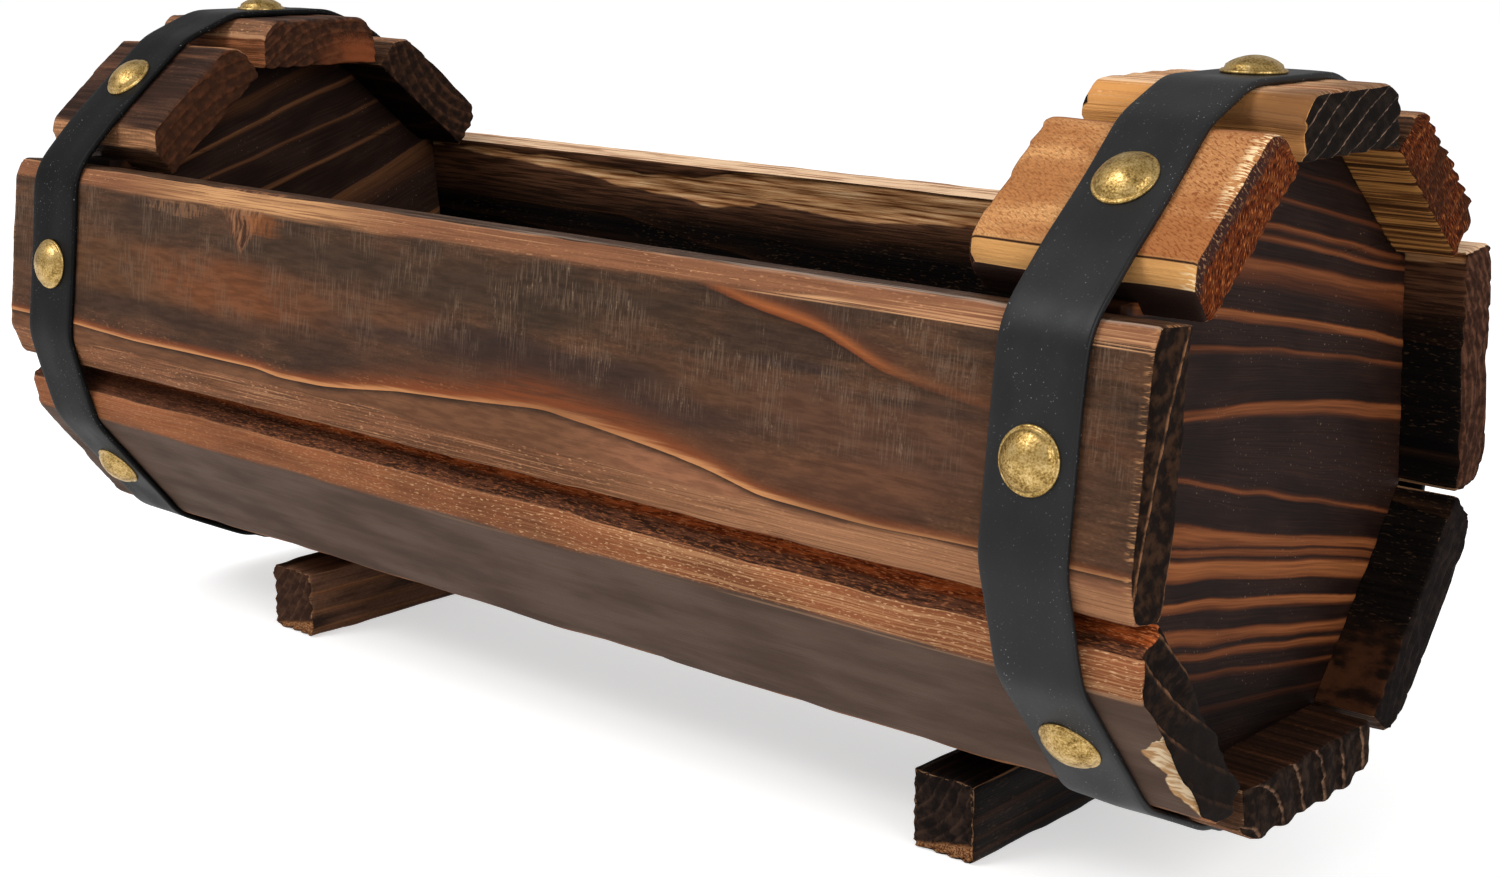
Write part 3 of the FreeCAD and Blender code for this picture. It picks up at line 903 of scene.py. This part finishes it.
def board_wood(name, lines, dark, line_tone, bright):
    """Charred board whose light growth lines stand at listed levels."""
    m = Material(name)
    fibre = m.noise((0.8, 30, 0.6), 3)
    blotch = m.noise((20, 34, 16), 3, 9)
    level = 0.35 * (fibre - 0.5) + m.mark("level")
    lines = sorted(lines, key=lambda line: line[1])
    share = 0
    for first in range(0, len(lines), ramp_lines):
        share = m.mix(1, share, line_strength(level, lines[first:first + ramp_lines]), "ADD")
    patchy = share * m.noise((4, 70, 1.6), 2, 5).spread(0.3, 0.5, 0.7, 1)
    m.colour = blotch.tones(0.35, 0.65, dark, lighter(dark, 1.9))
    m.lay(fibre.spread(0.55, 0.8, 0, 0.07), line_tone)
    m.lay(patchy, line_tone)
    m.lay(m.math("POWER", patchy, 3), bright)
    m.lay(1, fibre.spread(0.3, 0.7, 0.75, 1.15) * level.spread(52, 70, 0.55, 1), "MULTIPLY")
    speck = m.noise((0.8, 0.9, 0.8), 1, 31).spread(0.7, 0.76) * blotch.spread(0.5, 0.58, 0, 0.7)
    m.lay(speck, (128, 108, 92))
    # Edge faces darker, and the lip over the rims painted dark as painted shade
    m.lay(0.9 * m.mark("flank"), lighter(dark, 0.5))
    return m.finish(0.6, 0.6 * share + fibre, 0.5, Specular_IOR_Level=wood_gloss)


def end_board(node, material, lines, step, seed):
    """An end board as a fine mesh with its growth lines standing a little proud."""
    low, high = box_mm(node)
    thickness = high[0] - low[0]
    axes = [
        edge_steps(0, thickness, 2.6),
        edge_steps(-1, 1, step[0] / stave_width, (0.004, 0.01, 0.02)),
        np.union1d(edge_steps(low[2], high[2], step[1]), board_edge()[1:-1, 1]),
    ]
    (i, j, k), faces = block_faces([len(axis) for axis in axes])
    across, share, z = axes[0][i], axes[1][j], axes[2][k]
    half = board_half_width(z)
    y = share * half
    spots = np.stack([across, y, z], -1)
    level = line_levels(lines, y, z) + 0.5 * noise(spots * (0, 1, 1), (1, 14, 9), seed)
    lift = np.zeros_like(z)
    for _, top, _, thick, strength, _ in lines:
        on_line = soft_step(level, top - thick - 1, top - thick) * (1 - soft_step(level, top, top + 1))
        lift = np.maximum(lift, strength * on_line)
    sink = 0.35 * (1 - lift) + 0.12 * noise(spots, (3, 26, 1.8), seed + 2)
    gap_face = np.minimum(across, thickness - across)
    gap_edge = np.minimum(half - np.abs(y), np.minimum(z - low[2], high[2] - z))
    turn = np.where(across > thickness / 2, -1, 1)
    x = low[0] + across + turn * (np.where(gap_face < 0.01, sink, 0) + pulled(gap_face, gap_edge, 1.5))
    rim = place(FRONT, 0, stave_width / 2, 0)
    # The lip over the long staves' rims carries the flank mark with the edges, so the material paints it
    # dark: painted shade where the lamps light it directly
    painted_shade_lip = (np.abs(y) > -rim[1] - lip_reach) & (z > rim[2] - lip_reach)
    is_edge = painted_shade_lip | (j == 0) | (j == j.max()) | (k == 0) | (k == k.max())
    marks = {
        "grain": np.stack([across, y, level + 300.0 * seed], -1),
        "level": level,
        "flank": is_edge,
    }
    make_piece("worn_", node, np.stack([x, y, z], -1), faces, material, marks)


# Feet

# In mm: radius of a foot's worn edges and how much it varies, how far left of the foot and above
# it the heart of its log lies, and the ring width
foot_radius, foot_change = 1.8, 0.9
foot_heart, foot_ring = (18, 12), 3.4


def foot_layers(m):
    """Raw wood low on the cut front end of a foot."""
    height = m.out - 0.22 * m.along + 3 * (m.grit - 0.5)
    raw = m.grit.tones(0.42, 0.6, (112, 66, 38), (188, 136, 92))
    m.lay(0.85 * height.spread(-7.4, -8.6) * m.cut * m.x.spread(0, -5), raw)


def foot(node, material, seed):
    """A square bar with softened edges and a worn front end."""
    low, high = box_mm(node)
    axes = [edge_steps(low[a], high[a], 1.6 if a != 1 else 2.2) for a in range(3)]
    (i, j, k), faces = block_faces([len(axis) for axis in axes])
    points = np.stack([axes[0][i], axes[1][j], axes[2][k]], -1)
    gaps = np.minimum(points - low, high - points)
    inward = np.where(points - low < high - points, 1, -1)
    radius = foot_radius + foot_change * noise(points, (8, 8, 8), seed)
    from_heart = (points[:, 0] - low[0] + foot_heart[0], points[:, 2] - high[2] - foot_heart[1])
    ring = np.hypot(*from_heart) / foot_ring
    ring += 0.35 * noise(points, (12, 60, 12), seed + 1)
    groove = soft_step(ring % 1, 0.2, 0.8)
    moved = points.copy()
    for axis in range(3):
        for other in range(3):
            if other != axis:
                moved[:, axis] += inward[:, axis] * pulled(gaps[:, axis], gaps[:, other], radius)
        on_face = gaps[:, axis] < 0.01
        moved[:, axis] += np.where(on_face, inward[:, axis] * 0.3 * groove, 0)
    ragged = 0.9 * groove + 0.6 * (1 + noise(points, (5, 5, 5), seed + 2))
    moved[:, 1] += inward[:, 1] * ragged * np.exp(-gaps[:, 1] / end_reach)
    at_end = gaps[:, 1] < 0.01
    edge_gap = np.sort(gaps[:, ::2], axis=1)
    marks = {
        "grain": points[:, (1, 0, 2)] + (0, 211.0 * seed, 0),
        "place": (points - (low + high) / 2)[:, (1, 0, 2)],
        "ring": ring,
        "worn": np.exp(-np.where(at_end, edge_gap[:, 0], edge_gap[:, 1]) / edge_reach),
        "cut": at_end,
    }
    make_piece("worn_", node, moved, faces, material, marks)


# Straps and studs

def strap_path():
    """Line under a strap in the section plane, from its inner end round to its outer end."""
    order = [BOTTOM, LOWER_BACK, BACK, UPPER_BACK, TOP, UPPER_FRONT, FRONT, LOWER_FRONT, BOTTOM]
    stops = [place(BOTTOM, 0, lap_half, stave_thickness)]
    for side, next_side in zip(order, order[1:]):
        width, low, _ = side_sizes(side)
        next_width, _, high = side_sizes(next_side)
        start = place(side, 0, low[0] - width / 2, stave_thickness)
        end = place(next_side, 0, next_width / 2 - high[0], stave_thickness)
        corners = [
            place(side, 0, -width / 2, stave_thickness - low[1]),
            place(next_side, 0, next_width / 2, stave_thickness - high[1]),
        ]
        reach = end - start
        normal = np.array([0, reach[2], -reach[1]])
        normal *= np.sign(normal.dot(outs[side] + outs[next_side]))
        stops += [start] + [corner for corner in corners if (corner - start).dot(normal) > 0] + [end]
    stops.append(place(BOTTOM, 0, -lap_half, stave_thickness))
    stops = np.array(stops)[:, 1:]
    run = np.concatenate([[0], np.cumsum(np.linalg.norm(np.diff(stops, axis=0), axis=1))])
    steps = np.arange(0, run[-1], 1.0)
    line = np.stack([np.interp(steps, run, stops[:, a]) for a in range(2)], -1)
    kernel = np.exp(-0.5 * (np.arange(-9, 10) / 2.8) ** 2)
    kernel /= kernel.sum()
    padded = np.pad(line, ((9, 9), (0, 0)), "reflect", reflect_type="odd")
    line = np.stack([np.convolve(padded[:, a], kernel, "valid") for a in range(2)], -1)
    return steps[::2], line[::2]


def tube_faces(rows, columns):
    """Quads round a tube of rings, and a cap at each end."""
    number = np.arange(rows * columns).reshape(rows, columns)
    after = np.roll(number, -1, axis=1)
    quads = np.stack([number[:-1], after[:-1], after[1:], number[1:]], -1).reshape(-1, 4)
    return quads.tolist() + [number[0, ::-1].tolist(), number[-1].tolist()]


def band_profile(width, thickness, radius):
    """Rounded section of the strap: (across the strap, out from its middle), counterclockwise."""
    ring = []
    for sign_x, sign_out, start in ((1, -1, -90), (1, 1, 0), (-1, 1, 90), (-1, -1, 180)):
        for degrees in range(start, start + 91, 30):
            angle = math.radians(degrees)
            centre_x = sign_x * (width / 2 - radius)
            centre_out = sign_out * (thickness / 2 - radius)
            ring.append((centre_x + radius * math.cos(angle), centre_out + radius * math.sin(angle)))
        if sign_x == sign_out:
            shares = np.linspace(0.85, -0.85, 7) * sign_x
            ring += [(share * (width / 2 - radius), sign_out * thickness / 2) for share in shares]
    return np.array(ring)


def strap(node, material, seed):
    """A rubber strap laid round one end, its outer end lapped over its inner end."""
    low, high = box_mm(node)
    middle = (low[0] + high[0]) / 2
    steps, line = strap_path()
    tangent = np.gradient(line, axis=0)
    tangent /= np.linalg.norm(tangent, axis=1)[:, None]
    normal = np.stack([tangent[:, 1], -tangent[:, 0]], -1)
    normal *= np.sign(np.sum(normal * (line - line.mean(0)), axis=1))[:, None]
    lap_start = steps[-1] - 2 * lap_half - lap_ramp
    rise = strap_thickness / 2 + 0.1 + lap_step * soft_step(steps, lap_start, lap_start + lap_ramp)
    profile = band_profile(high[0] - low[0], strap_thickness, strap_round)
    wander = 0.9 * noise(steps[:, None] * (1, 0, 0), (55, 9, 9), seed)
    across = middle + wander[:, None] + profile[None, :, 0]
    reach = np.stack([across, steps[:, None] + 0 * across, 0 * across], -1)
    ripple = 0.16 * noise(reach, (13, 17, 9), seed + 1) + 0.22 * noise(reach, (7, 40, 9), seed + 2)
    out = rise[:, None] + profile[None, :, 1] + ripple
    section = line[:, None, :] + normal[:, None, :] * out[..., None]
    points = np.concatenate([across[..., None], section], -1).reshape(-1, 3)
    flow = np.stack([reach[..., 1], across, out], -1).reshape(-1, 3)
    make_piece("soft_", node, points, tube_faces(*across.shape), material, {"grain": flow})


def rubber(name, dark, light, gloss):
    """Black rubber with a soft sheen and fine dust."""
    m = Material(name)
    cloud = m.noise((22, 14, 14), 3)
    m.colour = cloud.tones(0.35, 0.7, dark, light)
    dust = m.noise((0.5, 0.5, 0.5), 0, 9).spread(0.76, 0.84)
    m.lay(dust * cloud.spread(0.42, 0.6, 0.1, 0.6), (150, 150, 150))
    fine = m.noise((0.9, 0.9, 0.9), 2, 3)
    return m.finish(cloud.spread(0.3, 0.7, 0.42, 0.55), fine, 0.12, 0.2, Specular_IOR_Level=gloss)


def brass():
    """Antique brass: pitted, darker in its hollows."""
    m = Material("antique_brass")
    pits = m.noise((0.55, 0.55, 0.55), 3)
    wear = 0.55 * pits + 0.45 * m.noise((3.4, 3.4, 3.4), 2, 5)
    stops = [(0.34, (96, 74, 38)), (0.42, (142, 114, 62)), (0.52, (178, 148, 90)), (0.66, (210, 182, 128))]
    m.colour = m.ramp(wear, stops)[0]
    return m.finish(wear.spread(0.35, 0.65, 0.55, 0.38), pits, 0.3, 0.2, Metallic=1)


def steel():
    """Plain wire of the nails; it carries no marks, so its grain is the object's own places in metres."""
    m = Material("nail_steel")
    fine = m.noise((0.001, 0.001, 0.001), vector=m.add("TexCoord", {}, "Object"))
    m.colour = m.mix(fine, (150, 150, 152), (178, 178, 180))
    return m.finish(0.4, fine, 0.1, 0.1, Metallic=1)


def stud(node, side, material, seed):
    """A dome-headed stud: pitted dome, thin rim, shank down into the stave."""
    low, high = box_mm(node)
    seat = stave_thickness + strap_thickness + (lap_step if side == BOTTOM else 0)
    head, rise = stud_radius, stud_height - stud_rim
    dome = (head * head + rise * rise) / (2 * rise)
    profile = [(0.2, -13.0), (stud_shank, -10.0), (stud_shank, -0.2), (head - 0.5, -0.2), (head - 0.1, 0.1)]
    profile += [(head, 0.4), (head - 0.12, 0.75), (head - 0.4, 0.95), (head - 0.75, 0.9), (head - 1.0, 1.0)]
    for share in np.linspace(0.84, 0.02, 11):
        reach = share * head
        profile.append((reach, stud_height - dome + math.sqrt(dome * dome - reach * reach)))
    profile = np.array(profile)
    turns = np.linspace(0, 2 * math.pi, 40, endpoint=False)
    radius, level = profile[:, :1], profile[:, 1:]
    local = np.stack([radius * np.cos(turns), -radius * np.sin(turns), level + 0 * turns], -1).reshape(-1, 3)
    spots = local + 50.0 * seed
    dent = 0.03 * noise(spots, (1.5, 1.5, 1.5), seed) + 0.1 * noise(spots, (4, 4, 4), seed + 1)
    local[:, 2] += dent * (local[:, 2] > 0.5)
    middle = (low[0] + high[0]) / 2
    points = place(side, middle + local[:, 0], local[:, 1], seat + local[:, 2])
    faces = tube_faces(len(profile), len(turns))
    make_piece("pitted_", node, points, faces, material, {"grain": local + 40.0 * seed})


# How each stave was cut and how it looks: the heart of its log (along, out), its lean along the
# stave, the ring width, how much the rings bend, how deep its ends are worn and its faces are
# brushed (in mm), and its tones over the usual ones with how strongly each feature shows
staves = {
    "front": (-57.3, -283.1, 0, 13.627, 0.8, 0.4, 0.12, dict(
        char=(64, 47, 37), brown=(86, 59, 42), bright=(128, 78, 46), tan=(196, 144, 104), bevel=(136, 90, 62),
        end=(21, 14, 11), end_line=(156, 108, 74), lines=0.08, wear=0.6, fibres=0.08, specks=0.6,
        end_lines=0.8, end_width=0.1, end_grit=0.1, layers=front_layers)),
    # The lower front stave's flank tone is painted light: about twice as bright, against the shade in the gap
    # under the front stave
    "lower_front": (60, -160, -0.015, 8, 1.5, 1, 0.12, dict(
        char=(78, 60, 50), brown=(96, 74, 61), bright=(124, 90, 66), tan=(200, 148, 108),
        bevel=(156, 102, 66), flank=(96, 54, 30), end=(20, 15, 13), end_line=(126, 88, 62), char_share=0.4,
        lines=0.05, fibres=0.06, specks=0.8, end_lines=0.9, end_width=0.14, end_grit=0.1,
        layers=lower_front_layers)),
    "bottom": (34, 21, 0, 10.9, 0.8, 0.9, 0.4, dict(
        inside=(42, 25, 17), end=(22, 15, 12), end_line=(140, 106, 84), lines=0.1, end_lines=0.8,
        end_width=0.08, end_grit=0.1)),
    "lower_back": (-6, 64, 0.02, 3.8, 2, 0.5, 0.22, dict(
        inside=(14, 10, 8), end=(20, 16, 15), end_line=(50, 38, 33), char_share=0.7, streaks=0.65, lines=0.1,
        layers=rusty_layers)),
    "back": (8, -50, -0.02, 3, 1.8, 0.7, 0.22, dict(
        inside=(9, 6, 5), end=(44, 25, 17), end_line=(108, 72, 54), streaks=0.65, lines=0.05, end_lines=0.6,
        layers=back_layers)),
    "left_upper_front": (-10, -55, 0.05, 4, 2.2, 0.6, 0.22, dict(
        char=(45, 30, 24), brown=(74, 49, 37), bright=(146, 94, 62), bevel=(170, 120, 84),
        inside=(66, 42, 28), end=(60, 37, 26), end_line=(112, 66, 42), streaks=0.6, lines=0.5)),
    "left_top": (14, -48, -0.04, 3.8, 2.2, 0.6, 0.22, dict(
        char=(38, 27, 22), brown=(94, 62, 46), flank=(150, 92, 58), end=(54, 34, 25), end_line=(124, 76, 50),
        layers=ember_layers)),
    "left_upper_back": (6, 58, 0.04, 4.2, 2.2, 0.6, 0.22, dict(char=(40, 28, 23), inside=(24, 17, 13))),
    "right_upper_front": (-5, -4, 0, 4.4, 1, 0.35, 0.22, dict(
        char=(170, 112, 66), brown=(204, 148, 94), bright=(216, 162, 104), tan=(238, 198, 146),
        bevel=(160, 104, 68), flank=(140, 90, 54), end=(84, 36, 15), end_line=(140, 82, 50), char_share=0.4,
        streaks=0.1, lines=0.08, wear=0.7, fibres=0.06, specks=0.2, end_lines=0.6, layers=golden_layers)),
    "right_top": (100, -160, 0.01, 4.94, 0.5, 0.55, 0.22, dict(
        char=(156, 102, 66), brown=(212, 160, 114), bright=(224, 182, 138), tan=(232, 194, 150),
        bevel=(186, 128, 76), flank=(172, 116, 68), end=(20, 16, 14), end_line=(156, 124, 102),
        char_share=0.35, lines=0.2, end_lines=0.9, end_width=0.13, end_grit=0.03, layers=singed_layers)),
    "right_upper_back": (130, -20, 0.02, 5.2, 2, 0.9, 0.6, dict(
        brown=(70, 51, 42), bright=(184, 128, 70), inside=(100, 62, 32), end=(50, 22, 8),
        end_line=(122, 60, 26), lines=0.6, end_lines=0.6, end_grit=0.2, layers=bristly_layers)),
}
stave_shapes = {"front": front_shape, "lower_front": chipped_shape, "back": back_shape}

# Mesh steps in mm: across a stave, through it and along it
fine_steps = (1.1, 1.3, 2)
plain_steps = (1.8, 2.2, 3.2)
crown_steps = (1.15, 1.4, 1.4)


def make_staves():
    """All the staves, long ones first."""
    for seed, (name, (*tree, bite, relief, look)) in enumerate(staves.items(), 1):
        side = side_names.index(name.removeprefix("left_").removeprefix("right_"))
        slot, steps = "toasted_stave_wood", crown_steps
        if side not in crown_sides:
            slot = "charred_stave_wood"
            steps = fine_steps if side in (FRONT, LOWER_FRONT) else plain_steps
        node = name + "_stave"
        tree.append(10 * seed)
        shape = stave_shapes.get(name)
        stave(node, side, wood(node + "_wood", **look), tree, steps, relief, bite, seed, shape)


def make_rest():
    """Boards, feet, straps, studs and nails."""
    right_wood = board_wood("right_board_wood", right_lines, (25, 14, 10), (106, 54, 28), (146, 88, 50))
    left_wood = board_wood("left_board_wood", left_lines, (34, 22, 17), (100, 62, 38), (132, 90, 58))
    end_board("right_end_board", right_wood, right_lines, (2.2, 1.5), 3)
    end_board("left_end_board", left_wood, left_lines, (2.6, 1.9), 8)
    foot_woods = [
        wood("left_foot_wood", char=(46, 33, 27), brown=(108, 76, 58), bright=(160, 104, 60),
             end=(56, 38, 30), end_line=(112, 78, 58), char_share=0.6, lines=0.5, layers=foot_layers),
        wood("right_foot_wood", char=(19, 16, 15), brown=(31, 25, 22), end=(27, 22, 20),
             end_line=(84, 62, 50), char_share=0.8, lines=0.15, layers=foot_layers),
    ]
    # One rubber for both straps; the left one is painted darker and made less glossy: painted shade against
    # the reflection it catches at a grazing angle
    rubbers = [
        rubber("left_rubber_painted_shade", (9, 9, 9), (17, 17, 17), 0.08),
        rubber("right_rubber", (21, 21, 22), (31, 31, 32), 0.2),
    ]
    gold = brass()
    for number, end in enumerate(("left", "right")):
        foot(end + "_foot", foot_woods[number], 41 + number)
        strap(end + "_strap", rubbers[number], 61 + number)
        for side, side_name in enumerate(side_names):
            stud(end + "_" + side_name + "_stud", side, gold, 80 + 10 * number + side)
    nail_steel = steel()
    for node in ("left_stave_nails", "right_stave_nails", "foot_nails"):
        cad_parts[node].data.materials.clear()
        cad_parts[node].data.materials.append(nail_steel)


# Studio

# Light: the world's strength, and (name, place in metres, size, power) for each lamp
world_strength = 0.55
lamps = [
    ("key", (-0.7, -1.3, 1.7), 1.1, 26),
    ("fill", (1.7, -0.5, 0.9), 1, 14),
]
lamp_aim = Vector((0, 0, 0.1))
white = (1, 1, 1, 1)

# Floor: its grey, how much white the camera sees on top, and its reach in metres
floor_grey = (0.8, 0.8, 0.8, 1)
floor_lift = 0.55
floor_reach = 12

# Camera, fitted to the staves' corners in the photograph: place in metres, focal length and
# photo width in pixels, and the ways that count as right and down in the photo
camera_place = (0.4863, -0.5119, 0.2575)
camera_focal = 2263
photo_width = 1500
camera_right = (0.7499, 0.6616, 0.0061)
camera_down = (0.1604, -0.1728, -0.9718)


def make_lights():
    """Soft studio light: an even world, a large lamp at the upper left and a fill at the right."""
    world = Material("studio", "worlds")
    inputs = {
        0: world.rays("Camera", "Transmission"),
        1: world.add("Background", {"Color": white, "Strength": world_strength}),
        2: world.add("Background", {"Color": white}),
    }
    world.add("OutputWorld", {"Surface": world.add("MixShader", inputs)}, None)
    bpy.context.scene.world = world.data
    for name, spot, size, power in lamps:
        data = bpy.data.lights.new(name, "AREA")
        data.shape = "DISK"
        data.size = size
        data.energy = power
        lamp = add_object(name, data)
        lamp.location = spot
        lamp.rotation_euler = (lamp_aim - Vector(spot)).to_track_quat("-Z", "Y").to_euler()


def make_floor():
    """Pale plain floor that keeps the object's shadow and reads white to the camera."""
    m = Material("pale_floor")
    diffuse = m.add("BsdfDiffuse", {"Color": floor_grey})
    both = m.add("AddShader", {0: diffuse, 1: m.add("Emission", {"Color": white, "Strength": floor_lift})})
    inputs = {0: m.rays("Camera", "Glossy"), 1: diffuse, 2: both}
    m.add("OutputMaterial", {"Surface": m.add("MixShader", inputs)}, None)
    mesh = bpy.data.meshes.new("floor")
    corners = [(x * floor_reach, y * floor_reach, 0) for x, y in ((-1, -1), (1, -1), (1, 1), (-1, 1))]
    mesh.from_pydata(corners, [], [(0, 1, 2, 3)])
    mesh.materials.append(m.data)
    floor = add_object("floor", mesh)


def make_camera():
    """The camera at the photograph's viewing angle."""
    data = bpy.data.cameras.new("camera")
    data.sensor_width = 36
    data.lens = data.sensor_width * camera_focal / photo_width
    camera = add_object("camera", data)
    right = Vector(camera_right).normalized()
    up = -Vector(camera_down)
    up = (up - right * up.dot(right)).normalized()
    turn = Matrix((right, up, right.cross(up))).transposed().to_4x4()
    camera.matrix_world = Matrix.Translation(camera_place) @ turn
    bpy.context.scene.camera = camera


make_staves()
make_rest()
make_camera()
make_lights()
make_floor()
bpy.context.scene.view_settings.view_transform = "Standard"
